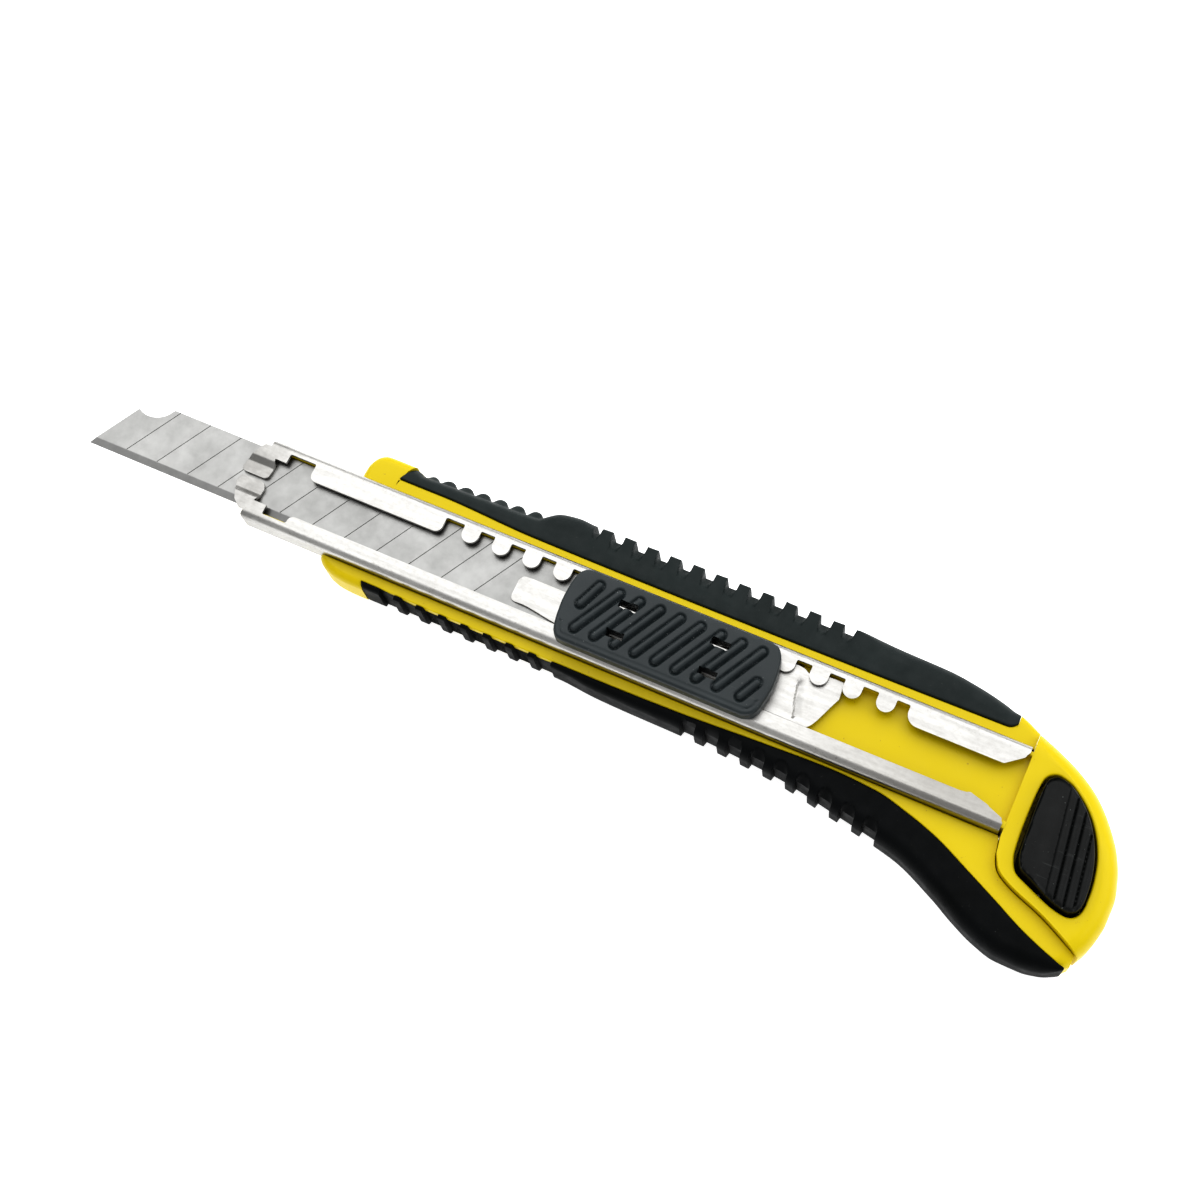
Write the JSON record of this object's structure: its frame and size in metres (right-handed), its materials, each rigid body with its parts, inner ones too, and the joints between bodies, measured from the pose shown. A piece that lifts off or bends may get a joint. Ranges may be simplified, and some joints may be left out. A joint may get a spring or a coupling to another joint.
{
  "type": "snap-off utility knife",
  "caption": "Slim snap-off blade knife with a steel blade rail, ribbed slider with lock notches, soft ribbed grips, spare blade tray and pull-off end cap.",
  "frame": {"origin": "on the flat back of the handle, under the middle of the blade rail", "axes": "+X from the blade's tip towards the end cap, +Y towards the thumb side, +Z out of the back through the slider"},
  "size_m": [0.1527, 0.0331, 0.0106],
  "materials": {
    "yellow_shell": "moulded semi-gloss",
    "soft_grip": "matte soft-touch",
    "black_plastic": "satin moulded",
    "rail_steel": "bright satin",
    "blade_steel": "fine ground satin",
    "spring_steel": "satin"
  },
  "bodies": {
    "handle": {"handle_shell": "yellow_shell", "upper_grip": "soft_grip", "lower_grip": "soft_grip", "blade_rail": "rail_steel"},
    "slider": {"snap_off_blade": "blade_steel", "blade_carrier": "rail_steel", "carrier_stud": "spring_steel", "slider_pad": "black_plastic", "lock_spring": "spring_steel"},
    "cap_and_tray": {"end_cap": "yellow_shell", "magazine_tray": "yellow_shell", "magazine_spring": "spring_steel", "spring_rivet": "spring_steel", "spare_blade_1": "blade_steel", "spare_blade_2": "blade_steel", "spare_blade_3": "blade_steel", "button_pin": "spring_steel", "button_spring": "spring_steel"},
    "cap_button": {"end_button": "black_plastic", "cap_latch": "spring_steel"}
  },
  "joints": [
    {"name": "blade_slide", "type": "slide", "parent": "handle", "child": "slider", "axis": [-1, 0, 0], "range_m": [-0.02315, 0.03241], "deforming": ["lock_spring"]},
    {"name": "end_cap_slide", "type": "slide", "parent": "handle", "child": "cap_and_tray", "axis": [1, 0, 0], "range_m": [0, 0.085], "deforming": ["cap_latch"]},
    {"name": "end_button_press", "type": "hinge", "parent": "cap_and_tray", "child": "cap_button", "pos_m": [0.059, 0, 0.0052], "axis": [0, 1, 0], "range_deg": [0, 7], "stiffness_Nm_per_rad": 0.05, "springref_deg": -5.73, "deforming": ["button_spring"]}
  ]
}
